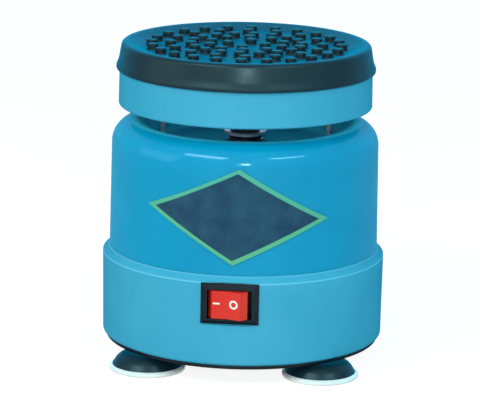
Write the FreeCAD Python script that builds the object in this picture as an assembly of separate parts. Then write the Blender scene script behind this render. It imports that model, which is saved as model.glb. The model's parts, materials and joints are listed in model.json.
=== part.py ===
import FreeCAD, Part
import math
import os

from FreeCAD import Vector

# Vortex mixer: a round two-part case on suction feet, with a motor inside that
# drives a shaking head through a small crank. Millimetres, +Z up, front at -Y,
# origin on the table under the motor axis.

# Suction feet
foot_count = 4
foot_inset = 7.2
foot_lip_radius = 14.0
foot_lip_height = 1.2
foot_lip_round = 0.5
foot_sole_width = 1.6
foot_cup_depth = 1.0
foot_pad_height = 1.8
foot_dome_radius = 12.9
foot_dome_shoulder_radius = 10.2
foot_dome_height = 4.5
foot_dome_round = 6.0
foot_stud_radius = 2.0
foot_stud_head_radius = 4.0
foot_stud_head_height = 1.5
foot_stud_end = 0.6
foot_nut_width = 7.0
foot_nut_height = 3.2
screw_clearance = 0.2

# Base plate
plate_thickness = 1.5
plate_spigot_height = 1.5
plate_inset = 1.2
plate_edge_round = 0.5
vent_count = 12
vent_width = 2.4
vent_inner_radius = 13.0
vent_outer_radius = 27.0
seat_clearance = 0.3

# Base ring
ring_top_radius = 52.5
ring_draft = 0.3
ring_side_height = 30.6
ring_bevel_height = 2.4
ring_bevel_inset = 2.3
ring_wall = 2.8
ring_bottom_round = 1.2
ring_edge_round = 0.5
ring_flange_thickness = 3.0
ring_flange_width = 5.0

# Upper housing
housing_wall = 2.5
housing_step = 0.2
housing_draft = 0.6
housing_height = 47.4
housing_shoulder_round = 8.5
dish_rim_flat = 0.4
dish_depth = 9.2
dish_rim_round = 6.0
dish_corner_round = 2.0
housing_spigot_depth = 4.0
housing_spigot_wall = 2.0
housing_ledge_height = 3.0

# Case screws, from the base plate up into the upper housing
case_screw_radius = 1.75
case_screw_head_radius = 3.3
case_screw_head_height = 1.6
case_screw_recess = 1.8
case_screw_grip = 11.0
case_screw_inset = 11.0
case_screw_angle = 20.0
case_boss_radius = 4.0
case_boss_web = 2.4
housing_boss_length = 16.0
ring_boss_gap = 4.8

# Front label, a thin diamond that follows the housing
label_half_width = 32.5
label_half_height = 17.6
label_centre_height = 21.6
label_tilt = -3.0
label_turn = 1.7
label_thickness = 0.4

# Rocker switch
switch_height_above_ring = 23.2
bezel_width = 21.0
bezel_height = 15.0
bezel_edge = 0.6
bezel_rise = 1.4
bezel_land = 0.5
switch_body_width = 18.6
switch_body_height = 12.8
switch_body_depth = 14.0
switch_cutout_clearance = 0.1
switch_flat_depth = 1.1
switch_flat_margin = 0.5
switch_well_depth = 7.0
rocker_half_width = 7.3
rocker_half_height = 5.1
rocker_ridge = 5.2
rocker_ridge_rise = 2.6
rocker_valley_rise = 1.6
rocker_ridge_round = 0.6
rocker_back_depth = 5.5
rocker_sink = 1.0
rocker_pivot_depth = 3.0
rocker_pin_radius = 1.2
rocker_pin_engagement = 0.6
rocker_tilt = 12.0
rocker_side_gap = 0.3
rocker_end_gap = 0.8
pin_running_gap = 0.05
terminal_width = 4.8
terminal_thickness = 0.8
terminal_motor_gap = 2.4
terminal_offset = 4.5

# Rear cable gland, open for a mains lead
gland_height_above_ring = 12.2
gland_bore_radius = 3.6
gland_neck_radius = 5.0
gland_flange_radius = 7.5
gland_flange_thickness = 2.6
gland_nose_radius = 6.0
gland_nose_length = 1.9
gland_edge_round = 0.6
gland_flat_depth = 0.7
gland_flat_margin = 0.5
gland_boss_radius = 9.0
gland_boss_depth = 5.1
gland_nut_width = 14.0
gland_nut_height = 3.5
gland_fit = 0.1

# Terminal block and leads inside the base
block_width = 14.0
block_depth = 8.0
block_height = 9.0
block_wall_gap = 8.4
block_port_width = 3.0
block_port_count = 3
lead_radius = 0.9
lead_bend = 4.5

# Motor stator
motor_gap_above_fan = 6.5
stack_radius = 27.5
stack_height = 18.0
yoke_width = 4.5
pole_half_width = 6.5
shoe_radius = 17.0
shoe_half_angle = 58.0
air_gap = 0.4
former_wall = 0.8
coil_inner_face = 17.4
coil_outer_face = 22.0
coil_build = 3.5
coil_round = 2.5
coil_yoke_gap = 0.4
shading_start_angle = 33.4
shading_slot_angle = 5.2
shading_inner_gap = 0.4
shading_depth = 1.8
shading_band = 1.4

# Motor brackets, bushes and fasteners
bracket_leg_height = 6.5
bracket_plate_thickness = 3.0
bracket_boss_radius = 10.0
bracket_boss_rise = 4.5
bracket_boss_drop = 2.0
bracket_window_angle = 36.0
bracket_window_inner = 12.0
bush_radius = 6.0
shaft_running_gap = 0.03
motor_bolt_radius = 1.5
motor_bolt_head_radius = 2.7
motor_bolt_head_height = 2.0
motor_bolt_pitch_radius = 25.2
motor_bolt_angle = 30.0
motor_bolt_end = 1.6
motor_nut_width = 5.5
motor_nut_height = 2.4
ear_pitch_radius = 33.0
ear_radius = 6.0
ear_angle = 45.0
bush_neck_radius = 3.4
bush_flange_radius = 5.0
bush_flange_height = 3.0
mount_screw_radius = 1.5
mount_screw_head_radius = 3.4
mount_screw_head_height = 2.0
mount_screw_grip = 7.0
mount_pillar_radius = 4.5

# Rotor
rotor_radius = 12.5
end_ring_inner = 6.0
end_ring_outer = 11.5
end_ring_height = 3.0
thrust_washer_radius = 8.0
thrust_gap = 0.1
shaft_radius = 4.0
shaft_chamfer = 0.6
shaft_tail = 1.0
fan_floor_gap = 2.7
fan_height = 8.0
fan_radius = 24.0
fan_hub_radius = 7.0
fan_disc_thickness = 1.6
fan_blade_thickness = 1.4
fan_blade_count = 9

# Crank: hub on the motor shaft, washer, counterweight and eccentric journal
orbit_radius = 2.0
hub_radius = 6.5
hub_skirt = 7.5
hub_rise = 4.0
hub_groove_height = 2.2
hub_groove_width = 0.8
hub_groove_depth = 0.6
hub_chamfer = 0.4
hub_washer_radius = 7.8
hub_washer_thickness = 1.2
hub_washer_gap = 0.1
journal_radius = 5.5
hub_shaft_cover = 0.4
weight_radius = 22.0
weight_ring_radius = 9.5
weight_thickness = 6.0
weight_half_angle = 75.0
weight_lift = 0.5
set_screw_radius = 1.5
set_screw_inset = 0.5
seal_outer_radius = 10.0
seal_thickness = 1.8
seal_gap = 0.4
floor_hole_margin = 1.6

# Head bearing
bearing_bore_radius = 4.0
bearing_outer_radius = 11.0
bearing_width = 7.0
bearing_inner_land = 6.1
bearing_outer_land = 8.9
ball_radius = 1.95
ball_count = 7
ball_clearance = 0.1
cage_half_thickness = 0.4
cage_height = 5.0
circlip_thickness = 1.0
circlip_bite = 0.6
circlip_reach = 1.4
retaining_washer_radius = 6.0
retaining_washer_thickness = 1.2
retaining_screw_radius = 2.0
retaining_screw_head_radius = 3.6
retaining_screw_head_height = 2.6
retaining_screw_depth = 12.0

# Shaking head
head_gap = 6.0
head_bottom_radius = 46.9
head_step_radius = 46.7
head_side_height = 13.3
head_seat_radius = 44.8
head_seat_height = 3.5
head_top_thickness = 2.5
head_wall = 2.6
head_edge_round = 0.8
head_lean = 1.9
head_bearing_rise = 2.8
head_boss_radius = 14.5
head_boss_lip = 1.0
head_cap_over_screw = 1.7
head_screw_room_radius = 8.6
rib_count = 8
rib_thickness = 2.0
rib_height = 5.5

# Rubber cap
cap_fit = 0.1
cap_lip_radius = 47.9
cap_lip_edge = 1.2
cap_lip_round = 0.5
cap_flare_height = 3.4
cap_flare_round = 6.0
cap_side_radius = 47.1
cap_top_radius = 46.4
cap_rim_height = 6.5
cap_edge_round = 1.3
cap_rim_inner_radius = 43.2
cap_dish_radius = 37.8
cap_dish_depth = 2.1
cap_dish_round = 2.0
stud_radius = 2.1
stud_height = 2.3
stud_root = 0.5
stud_ring_radii = (7.0, 14.0, 20.5, 28.0, 35.0)
stud_ring_counts = (4, 10, 18, 16, 24)
stud_ring_angles = (-8.0, 18.0, 8.0, 4.0, 2.0)

# Guide pins that keep the head from turning
guide_pin_radius = 1.2
guide_pin_inset = 3.5
guide_pin_gap = 0.4
guide_pin_top_gap = 4.0
guide_pin_depth = 8.0
guide_boss_radius = 4.0
guide_boss_skin = 1.5
grommet_wall = 1.9
grommet_height = 6.0
grommet_lift = 2.8
socket_wall = 1.5

# Radii and heights that follow from the sizes above
ring_bottom_radius = ring_top_radius - ring_draft
foot_pitch_radius = ring_bottom_radius - foot_inset
case_screw_pitch_radius = ring_top_radius - case_screw_inset
housing_base_radius = ring_top_radius - ring_bevel_inset - housing_step
housing_shoulder_radius = housing_base_radius - housing_draft
dish_radius = housing_shoulder_radius - housing_shoulder_round - dish_rim_flat - dish_rim_round
guide_pin_spread = dish_radius - guide_pin_inset
plate_bottom = foot_pad_height + foot_dome_height
ring_bottom = plate_bottom + plate_thickness
plate_top = ring_bottom + plate_spigot_height
ring_shoulder = ring_bottom + ring_side_height
ring_top = ring_shoulder + ring_bevel_height
housing_top = ring_top + housing_height
floor_top = housing_top - dish_depth
floor_bottom = floor_top - housing_wall
head_bottom = housing_top + head_gap
head_step = head_bottom + head_side_height
head_top = head_step + head_seat_height
bearing_bottom = head_bottom + head_bearing_rise
bearing_top = bearing_bottom + bearing_width
hub_top = floor_top + hub_rise
journal_bottom = hub_top + hub_washer_thickness
hub_bottom = floor_bottom - hub_skirt
fan_bottom = plate_top + fan_floor_gap
fan_top = fan_bottom + fan_height
lower_plate_bottom = fan_top + motor_gap_above_fan
stack_bottom = lower_plate_bottom + bracket_plate_thickness + bracket_leg_height
stack_top = stack_bottom + stack_height
stack_middle = (stack_bottom + stack_top) / 2
upper_plate_bottom = stack_top + bracket_leg_height
upper_plate_top = upper_plate_bottom + bracket_plate_thickness
bore_radius = rotor_radius + air_gap
yoke_inner_radius = stack_radius - yoke_width
ring_inner_radius = ring_top_radius - ring_wall - seat_clearance
flange_inner_radius = ring_top_radius - ring_flange_width
housing_inner_radius = housing_base_radius - housing_wall
block_centre_y = ring_inner_radius - block_wall_gap - block_depth / 2
switch_back = ring_top_radius - switch_flat_depth - switch_body_depth
terminal_length = switch_back - stack_radius - terminal_motor_gap
boss_joint = ring_top - ring_boss_gap
guide_socket_radius = guide_pin_radius + orbit_radius + guide_pin_gap
head_axis = Vector(0, -orbit_radius, 0)
up = Vector(0, 0, 1)


def outline(corners, place):
    """Closed wire through the corners; a third number rounds that corner."""
    count = len(corners)
    points = [Vector(c[0], c[1], 0) for c in corners]
    ends = []
    for i, corner in enumerate(corners):
        here = points[i]
        radius = corner[2] if len(corner) > 2 else 0
        if not radius:
            ends.append((here, None, here))
            continue
        back = (points[i - 1] - here).normalize()
        ahead = (points[(i + 1) % count] - here).normalize()
        half = back.getAngle(ahead) / 2
        middle = (back + ahead).normalize()
        centre = here + middle * (radius / math.sin(half))
        reach = radius / math.tan(half)
        ends.append((here + back * reach, centre - middle * radius, here + ahead * reach))
    edges = []
    for i in range(count):
        first, mid, last = ends[i]
        if mid is not None:
            edges.append(Part.Arc(place(first), place(mid), place(last)).toShape())
        following = ends[(i + 1) % count][0]
        if last.distanceToPoint(following) > 1e-6:
            edges.append(Part.LineSegment(place(last), place(following)).toShape())
    return Part.Wire(edges)


def turned(corners, angle=360.0):
    """Solid turned about Z from (radius, height) corners."""
    face = Part.Face(outline(corners, lambda p: Vector(p.x, 0, p.y)))
    return face.revolve(Vector(0, 0, 0), up, angle)


def prism(corners, low, high):
    """Straight solid between two heights from (x, y) corners."""
    face = Part.Face(outline(corners, lambda p: Vector(p.x, p.y, low)))
    return face.extrude(Vector(0, 0, high - low))


def rod(radius, low, high, x=0.0, y=0.0):
    return Part.makeCylinder(radius, high - low, Vector(x, y, low))


def tube(outer, inner, low, high, x=0.0, y=0.0):
    return rod(outer, low, high, x, y).cut(rod(inner, low, high, x, y))


def rod_along_y(radius, start, end, height):
    return Part.makeCylinder(radius, end - start, Vector(0, start, height), Vector(0, 1, 0))


def block(width, depth, low, high, x=0.0, y=0.0):
    """Upright box centred on (x, y)."""
    return Part.makeBox(width, depth, high - low, Vector(x - width / 2, y - depth / 2, low))


def sector(inner, outer, start, end, low, high):
    """Part of a ring between two angles in degrees."""
    corners = [(inner, low), (outer, low), (outer, high), (inner, high)]
    piece = turned(corners, end - start)
    piece.rotate(Vector(0, 0, 0), up, start)
    return piece


def hexagon(width, low, high):
    reach = width / math.sqrt(3)
    angles = [math.radians(60 * k) for k in range(6)]
    return prism([(reach * math.cos(a), reach * math.sin(a)) for a in angles], low, high)


def at(shape, x, y, z=0.0):
    copy = shape.copy()
    copy.translate(Vector(x, y, z))
    return copy


def spun(shape, degrees):
    copy = shape.copy()
    copy.rotate(Vector(0, 0, 0), up, degrees)
    return copy


def polar(radius, degrees):
    turn = math.radians(degrees)
    return radius * math.cos(turn), radius * math.sin(turn)


def on_circle(shape, radius, angles):
    """Copies of a shape stood at these angles on a circle."""
    return [at(shape, *polar(radius, a)) for a in angles]


def around(shape, count, start=0.0):
    return [spun(shape, start + k * 360.0 / count) for k in range(count)]


def on_head(shape):
    return at(shape, head_axis.x, head_axis.y)


def save(name, shape):
    shape.exportStep("parts/" + name + ".step")


def save_group(name, shapes):
    save(name, Part.makeCompound(shapes))


foot_angles = [45.0 + k * 360.0 / foot_count for k in range(foot_count)]
case_angles = [case_screw_angle, 180 - case_screw_angle, 180 + case_screw_angle, -case_screw_angle]
ear_angles = [ear_angle + 90.0 * k for k in range(4)]
guide_angles = [0.0, 180.0]
bolt_angles = [motor_bolt_angle, 180 - motor_bolt_angle, 180 + motor_bolt_angle, -motor_bolt_angle]


def foot_pad():
    return turned([
        (0, foot_cup_depth),
        (foot_lip_radius - foot_sole_width, 0),
        (foot_lip_radius, 0, foot_lip_round),
        (foot_lip_radius, foot_lip_height, foot_lip_round),
        (foot_dome_radius, foot_pad_height),
        (0, foot_pad_height),
    ])


def foot_dome():
    body = turned([
        (0, foot_pad_height),
        (foot_dome_radius, foot_pad_height),
        (foot_dome_shoulder_radius, plate_bottom, foot_dome_round),
        (0, plate_bottom),
    ])
    head_top_height = foot_pad_height + foot_stud_head_height
    body = body.cut(rod(foot_stud_head_radius, foot_pad_height, head_top_height))
    return body.cut(rod(foot_stud_radius, foot_pad_height, plate_bottom))


def foot_stud():
    head_top_height = foot_pad_height + foot_stud_head_height
    head = rod(foot_stud_head_radius, foot_pad_height, head_top_height)
    tip = plate_top + foot_nut_height + foot_stud_end
    return head.fuse(rod(foot_stud_radius, head_top_height, tip)).removeSplitter()


def foot_nut():
    nut = hexagon(foot_nut_width, plate_top, plate_top + foot_nut_height)
    return nut.cut(rod(foot_stud_radius, plate_top, plate_top + foot_nut_height))


def base_plate():
    edge = ring_bottom_radius - plate_inset
    spigot = ring_inner_radius - seat_clearance
    plate = turned([
        (0, plate_bottom),
        (edge, plate_bottom, plate_edge_round),
        (edge, ring_bottom),
        (spigot, ring_bottom),
        (spigot, plate_top),
        (0, plate_top),
    ])
    stud_hole = rod(foot_stud_radius + screw_clearance, plate_bottom, plate_top)
    screw_hole = rod(case_screw_radius + screw_clearance, plate_bottom, plate_top)
    recess_top = plate_bottom + case_screw_recess
    recess = rod(case_screw_head_radius + seat_clearance, plate_bottom, recess_top)
    cuts = on_circle(stud_hole, foot_pitch_radius, foot_angles)
    cuts += on_circle(screw_hole.fuse(recess), case_screw_pitch_radius, case_angles)
    half = vent_width / 2
    slot = prism([
        (vent_inner_radius, -half, half),
        (vent_outer_radius, -half, half),
        (vent_outer_radius, half, half),
        (vent_inner_radius, half, half),
    ], plate_bottom, plate_top)
    cuts += around(slot, vent_count, 180.0 / vent_count)
    return plate.cut(Part.makeCompound(cuts))


def case_screw():
    seat = plate_bottom + case_screw_recess
    head = rod(case_screw_head_radius, seat - case_screw_head_height, seat)
    return head.fuse(rod(case_screw_radius, seat, boss_joint + case_screw_grip)).removeSplitter()


def boss_web(reach, low, high):
    """Rib from a case screw boss out to the wall."""
    start = case_screw_pitch_radius
    return Part.makeBox(reach - start, case_boss_web, high - low, Vector(start, -case_boss_web / 2, low))


def switch_flat_y():
    return -(ring_top_radius - switch_flat_depth)


def switch_z():
    return ring_bottom + switch_height_above_ring


def gland_flat_y():
    return ring_bottom_radius - gland_flat_depth


def gland_z():
    return ring_bottom + gland_height_above_ring


def gland_boss_y():
    return gland_flat_y() - gland_boss_depth


def base_ring():
    taper = ring_inner_radius - flange_inner_radius
    flange_bottom = ring_top - ring_flange_thickness
    shell = turned([
        (ring_inner_radius, ring_bottom),
        (ring_bottom_radius, ring_bottom, ring_bottom_round),
        (ring_top_radius, ring_shoulder, ring_edge_round),
        (ring_top_radius - ring_bevel_inset, ring_top, ring_edge_round),
        (flange_inner_radius, ring_top),
        (flange_inner_radius, flange_bottom),
        (ring_inner_radius, flange_bottom - taper),
    ])
    boss = rod(case_boss_radius, plate_top, boss_joint, case_screw_pitch_radius)
    inside_wall = ring_inner_radius + seat_clearance
    boss = boss.fuse(boss_web(inside_wall, plate_top, boss_joint))
    gland_boss = rod_along_y(gland_boss_radius, gland_boss_y(), inside_wall, gland_z())
    shell = shell.multiFuse([spun(boss, a) for a in case_angles] + [gland_boss])
    screw_hole = rod(case_screw_radius + screw_clearance, plate_top, boss_joint)
    cuts = on_circle(screw_hole, case_screw_pitch_radius, case_angles)
    outside = 2 * ring_top_radius
    flat_reach = outside + switch_flat_y()
    half_height = bezel_height / 2 + switch_flat_margin
    cuts.append(block(
        bezel_width + 2 * switch_flat_margin, flat_reach,
        switch_z() - half_height, switch_z() + half_height,
        0, switch_flat_y() - flat_reach / 2,
    ))
    half_height = switch_body_height / 2 + switch_cutout_clearance
    cuts.append(block(
        switch_body_width + 2 * switch_cutout_clearance, 2 * switch_body_depth,
        switch_z() - half_height, switch_z() + half_height,
        0, switch_flat_y(),
    ))
    cuts.append(rod_along_y(gland_flange_radius + gland_flat_margin, gland_flat_y(), outside, gland_z()))
    cuts.append(rod_along_y(gland_neck_radius + gland_fit, gland_boss_y(), outside, gland_z()))
    return shell.cut(Part.makeCompound(cuts)).removeSplitter()


def housing_outer(offset):
    """Outer corners of the upper housing, moved outwards by an offset."""
    return [
        (housing_base_radius + offset, ring_top),
        (housing_shoulder_radius + offset, housing_top + offset, housing_shoulder_round + offset),
    ]


def upper_housing():
    wall = housing_wall
    hole = hub_radius + floor_hole_margin
    seal_seat = floor_top - seal_thickness
    shell = turned(housing_outer(0) + [
        (dish_radius, housing_top, dish_rim_round),
        (dish_radius, floor_top, dish_corner_round),
        (seal_outer_radius, floor_top),
        (seal_outer_radius, seal_seat),
        (hole, seal_seat),
        (hole, floor_bottom),
        (dish_radius + wall, floor_bottom, dish_corner_round + wall),
        (dish_radius + wall, housing_top - wall),
        (housing_shoulder_radius - wall, housing_top - wall, housing_shoulder_round - wall),
        (housing_inner_radius, ring_top),
    ])
    spigot_outer = flange_inner_radius - seat_clearance
    spigot_inner = spigot_outer - housing_spigot_wall
    skirt = tube(spigot_outer, spigot_inner, ring_top - housing_spigot_depth, ring_top)
    notch_top = switch_z() + switch_body_height / 2 + seat_clearance
    skirt = skirt.cut(block(
        switch_body_width + 2 * seat_clearance, switch_body_depth,
        ring_top - housing_spigot_depth, notch_top, 0, -spigot_outer,
    ))
    ledge_top = ring_top + housing_ledge_height
    ledge = tube(housing_inner_radius + seat_clearance, spigot_inner, ring_top, ledge_top)
    boss_top = boss_joint + housing_boss_length
    boss = rod(case_boss_radius, boss_joint, boss_top, case_screw_pitch_radius)
    boss = boss.fuse(boss_web(housing_inner_radius, ring_top, boss_top))
    pillar_bottom = upper_plate_top + bush_flange_height
    pillar = rod(mount_pillar_radius, pillar_bottom, floor_bottom + seat_clearance)
    pin_boss_bottom = floor_top - guide_pin_depth - guide_boss_skin
    pin_boss = rod(guide_boss_radius, pin_boss_bottom, floor_bottom + seat_clearance)
    adds = [skirt, ledge] + [spun(boss, a) for a in case_angles]
    adds += on_circle(pillar, ear_pitch_radius, ear_angles)
    adds += on_circle(pin_boss, guide_pin_spread, guide_angles)
    shell = shell.multiFuse(adds)
    case_hole = rod(case_screw_radius, boss_joint, boss_joint + case_screw_grip)
    mount_hole = rod(mount_screw_radius, pillar_bottom, pillar_bottom + mount_screw_grip)
    pin_hole = rod(guide_pin_radius, floor_top - guide_pin_depth, floor_top)
    cuts = on_circle(case_hole, case_screw_pitch_radius, case_angles)
    cuts += on_circle(mount_hole, ear_pitch_radius, ear_angles)
    cuts += on_circle(pin_hole, guide_pin_spread, guide_angles)
    return shell.cut(Part.makeCompound(cuts)).removeSplitter()


def front_label():
    """Diamond cut from a thin skin over the housing wall and shoulder."""
    centre = [(0, housing_top), (0, ring_top)]
    skin = turned(housing_outer(label_thickness)[1:] + [(0, housing_top + label_thickness), (0, ring_top)]
                  + housing_outer(label_thickness)[:1])
    skin = skin.cut(turned(housing_outer(0) + centre))
    diamond = [
        (0, label_half_height),
        (label_half_width, 0),
        (0, -label_half_height),
        (-label_half_width, 0),
    ]
    face = Part.Face(outline(diamond, lambda p: Vector(p.x, 0, p.y)))
    cutter = face.extrude(Vector(0, -2 * housing_base_radius, 0))
    cutter.rotate(Vector(0, 0, 0), Vector(0, -1, 0), label_tilt)
    label = skin.common(at(cutter, 0, 0, ring_top + label_centre_height))
    return spun(label, label_turn)


def frame_wire(width, height, y, z):
    half_w = width / 2
    half_h = height / 2
    corners = [(-half_w, -half_h), (half_w, -half_h), (half_w, half_h), (-half_w, half_h)]
    return outline(corners, lambda p: Vector(p.x, y, z + p.y))


def bezel_front_y():
    return switch_flat_y() - bezel_edge - bezel_rise


def rocker_pivot_y():
    return bezel_front_y() + rocker_sink + rocker_pivot_depth


def switch_body():
    face_y = switch_flat_y()
    well_width = 2 * (rocker_half_width + rocker_end_gap)
    well_height = 2 * (rocker_half_height + rocker_side_gap)
    slab = block(bezel_width, bezel_edge, switch_z() - bezel_height / 2, switch_z() + bezel_height / 2,
                 0, face_y - bezel_edge / 2)
    base = frame_wire(bezel_width, bezel_height, face_y - bezel_edge, switch_z())
    rim = 2 * bezel_land
    land = frame_wire(well_width + rim, well_height + rim, bezel_front_y(), switch_z())
    bevel = Part.makeLoft([base, land], True, True)
    body = block(switch_body_width, switch_body_depth, switch_z() - switch_body_height / 2,
                 switch_z() + switch_body_height / 2, 0, face_y + switch_body_depth / 2)
    well_end = face_y + switch_well_depth
    well = block(well_width, well_end - bezel_front_y(), switch_z() - well_height / 2,
                 switch_z() + well_height / 2, 0, (well_end + bezel_front_y()) / 2)
    reach = rocker_half_height + rocker_side_gap + rocker_pin_engagement + pin_running_gap
    pivot_radius = rocker_pin_radius + pin_running_gap
    pivot = rod(pivot_radius, switch_z() - reach, switch_z() + reach, 0, rocker_pivot_y())
    return slab.multiFuse([bevel, body]).cut(well).cut(pivot).removeSplitter()


def switch_rocker():
    """Rocker at rest with its left end pressed in, as in the on position."""
    reference = bezel_front_y() + rocker_sink
    waist = rocker_half_width - rocker_end_gap
    foot = rocker_half_width / 4
    side = [
        (rocker_half_width, 0),
        (waist, -(rocker_back_depth - rocker_ridge_rise / 2)),
        (foot, -rocker_back_depth),
    ]
    front = [
        (-rocker_ridge, rocker_ridge_rise, rocker_ridge_round),
        (0, rocker_valley_rise),
        (rocker_ridge, rocker_ridge_rise, rocker_ridge_round),
    ]
    corners = [(-x, y) for x, y in reversed(side)] + front + side
    low = switch_z() - rocker_half_height
    face = Part.Face(outline(corners, lambda p: Vector(p.x, reference - p.y, low)))
    body = face.extrude(Vector(0, 0, 2 * rocker_half_height))
    reach = rocker_half_height + rocker_side_gap + rocker_pin_engagement
    pin = rod(rocker_pin_radius, switch_z() - reach, switch_z() + reach, 0, rocker_pivot_y())
    rocker = body.fuse(pin).removeSplitter()
    rocker.rotate(Vector(0, rocker_pivot_y(), 0), up, -rocker_tilt)
    return rocker


def switch_terminals():
    start = switch_flat_y() + switch_body_depth
    half = terminal_width / 2
    blade = block(terminal_thickness, terminal_length, switch_z() - half, switch_z() + half,
                  0, start + terminal_length / 2)
    return [at(blade, -terminal_offset, 0), at(blade, terminal_offset, 0)]


def cable_gland():
    flat = gland_flat_y()
    flange_end = flat + gland_flange_thickness
    inner_end = gland_boss_y() - gland_nut_height
    profile = turned([
        (gland_bore_radius, inner_end),
        (gland_neck_radius, inner_end),
        (gland_neck_radius, flat),
        (gland_flange_radius, flat),
        (gland_flange_radius, flange_end, gland_edge_round),
        (gland_nose_radius, flange_end),
        (gland_nose_radius, flange_end + gland_nose_length, gland_edge_round),
        (gland_bore_radius, flange_end + gland_nose_length),
    ])
    profile.rotate(Vector(0, 0, 0), Vector(1, 0, 0), -90)
    return at(profile, 0, 0, gland_z())


def gland_nut():
    nut = hexagon(gland_nut_width, 0, gland_nut_height).cut(rod(gland_neck_radius, 0, gland_nut_height))
    nut.rotate(Vector(0, 0, 0), Vector(1, 0, 0), -90)
    return at(nut, 0, gland_boss_y() - gland_nut_height, gland_z())


def terminal_block():
    body = block(block_width, block_depth, plate_top, plate_top + block_height, 0, block_centre_y)
    pitch = block_width / block_port_count
    half = block_port_width / 2
    ports = []
    for k in range(block_port_count):
        x = (k - (block_port_count - 1) / 2) * pitch
        ports.append(rod(half, plate_top + block_height / 2, plate_top + block_height, x, block_centre_y))
    return body.cut(Part.makeCompound(ports))


def lead(points):
    """Round lead along straight runs joined by arcs."""
    route = [Vector(*p) for p in points]
    edges = []
    last = route[0]
    for i in range(1, len(route) - 1):
        here = route[i]
        back = (route[i - 1] - here).normalize()
        ahead = (route[i + 1] - here).normalize()
        half = back.getAngle(ahead) / 2
        reach = lead_bend / math.tan(half)
        middle = (back + ahead).normalize()
        centre = here + middle * (lead_bend / math.sin(half))
        first = here + back * reach
        edges.append(Part.LineSegment(last, first).toShape())
        last = here + ahead * reach
        edges.append(Part.Arc(first, centre - middle * lead_bend, last).toShape())
    edges.append(Part.LineSegment(last, route[-1]).toShape())
    path = Part.Wire(edges)
    section = Part.Wire(Part.makeCircle(lead_radius, route[0], route[1] - route[0]))
    return path.makePipeShell([section], True, True)


def lead_wires():
    """Switch to block, switch to one coil, and block to the other coil."""
    blade_x = terminal_offset + terminal_thickness / 2
    blade_y = switch_flat_y() + switch_body_depth + terminal_length / 2
    blade_z = switch_z()
    coil_z = stack_bottom - former_wall - coil_build / 2
    block_x = block_width / 2
    low = plate_top + block_height / 3
    high = plate_top + 2 * block_height / 3
    high_y = block_centre_y - block_depth / 4
    lane = (stack_radius + case_screw_pitch_radius - case_boss_radius) / 2
    switch_to_block = [
        (-blade_x, blade_y, blade_z),
        (-lane, blade_y, blade_z),
        (-lane, -block_centre_y / 4, blade_z - block_height),
        (-lane, block_centre_y / 2, low + lead_bend),
        (-2 * block_x, block_centre_y, low),
        (-block_x, block_centre_y, low),
    ]
    switch_to_coil = [
        (blade_x, blade_y, blade_z),
        (lane - lead_bend, blade_y, blade_z),
        (lane, blade_y / 2, coil_z),
        (lane, 0, coil_z),
        (coil_outer_face, 0, coil_z),
    ]
    block_to_coil = [
        (-block_x, high_y, high),
        (-2 * block_x, high_y, high),
        (lead_bend - lane, block_centre_y / 2 + lead_bend, coil_z - lead_bend),
        (-lane, 0, coil_z),
        (-coil_outer_face, 0, coil_z),
    ]
    return [lead(switch_to_block), lead(switch_to_coil), lead(block_to_coil)]


def stator_stack():
    yoke = tube(stack_radius, yoke_inner_radius, stack_bottom, stack_top)
    reach = (bore_radius + shoe_radius) / 2
    neck = block(yoke_inner_radius + yoke_width / 2 - reach, 2 * pole_half_width, stack_bottom, stack_top,
                 (yoke_inner_radius + yoke_width / 2 + reach) / 2)
    shoe = sector(bore_radius, shoe_radius, -shoe_half_angle, shoe_half_angle, stack_bottom, stack_top)
    slot = sector(bore_radius / 2, bore_radius + shading_inner_gap + shading_depth, shading_start_angle,
                  shading_start_angle + shading_slot_angle, stack_bottom, stack_top)
    pole = neck.fuse(shoe).cut(slot)
    stack = yoke.multiFuse([pole, spun(pole, 180)])
    hole = rod(motor_bolt_radius + screw_clearance, stack_bottom, stack_top)
    holes = on_circle(hole, motor_bolt_pitch_radius, bolt_angles)
    return stack.cut(Part.makeCompound(holes)).removeSplitter()


def coil_loop(margin, build):
    """Rounded band round a pole neck, standing off it by a margin."""
    half_y = pole_half_width + margin
    half_z = stack_height / 2 + margin

    def band(y, z, radius):
        corners = [(-y, -z, radius), (y, -z, radius), (y, z, radius), (-y, z, radius)]
        wire = outline(corners, lambda p: Vector(coil_inner_face, p.x, stack_middle + p.y))
        return Part.Face(wire).extrude(Vector(coil_outer_face - coil_inner_face, 0, 0))

    outer_round = coil_round if margin else former_wall / 2
    inner_round = former_wall / 2 if margin else 0
    loop = band(half_y + build, half_z + build, outer_round).cut(band(half_y, half_z, inner_round))
    room = rod(yoke_inner_radius - coil_yoke_gap, stack_bottom - stack_height, stack_top + stack_height)
    return loop.common(room)


def shading_ring():
    low_radius = bore_radius + shading_inner_gap
    high_radius = low_radius + shading_depth
    slot_end = shading_start_angle + shading_slot_angle
    outer = sector(low_radius, high_radius, shading_start_angle, shoe_half_angle + shading_slot_angle,
                   stack_bottom - shading_band, stack_top + shading_band)
    window = sector(low_radius / 2, shoe_radius, slot_end, shoe_half_angle, stack_bottom, stack_top)
    return outer.cut(window)


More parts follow.
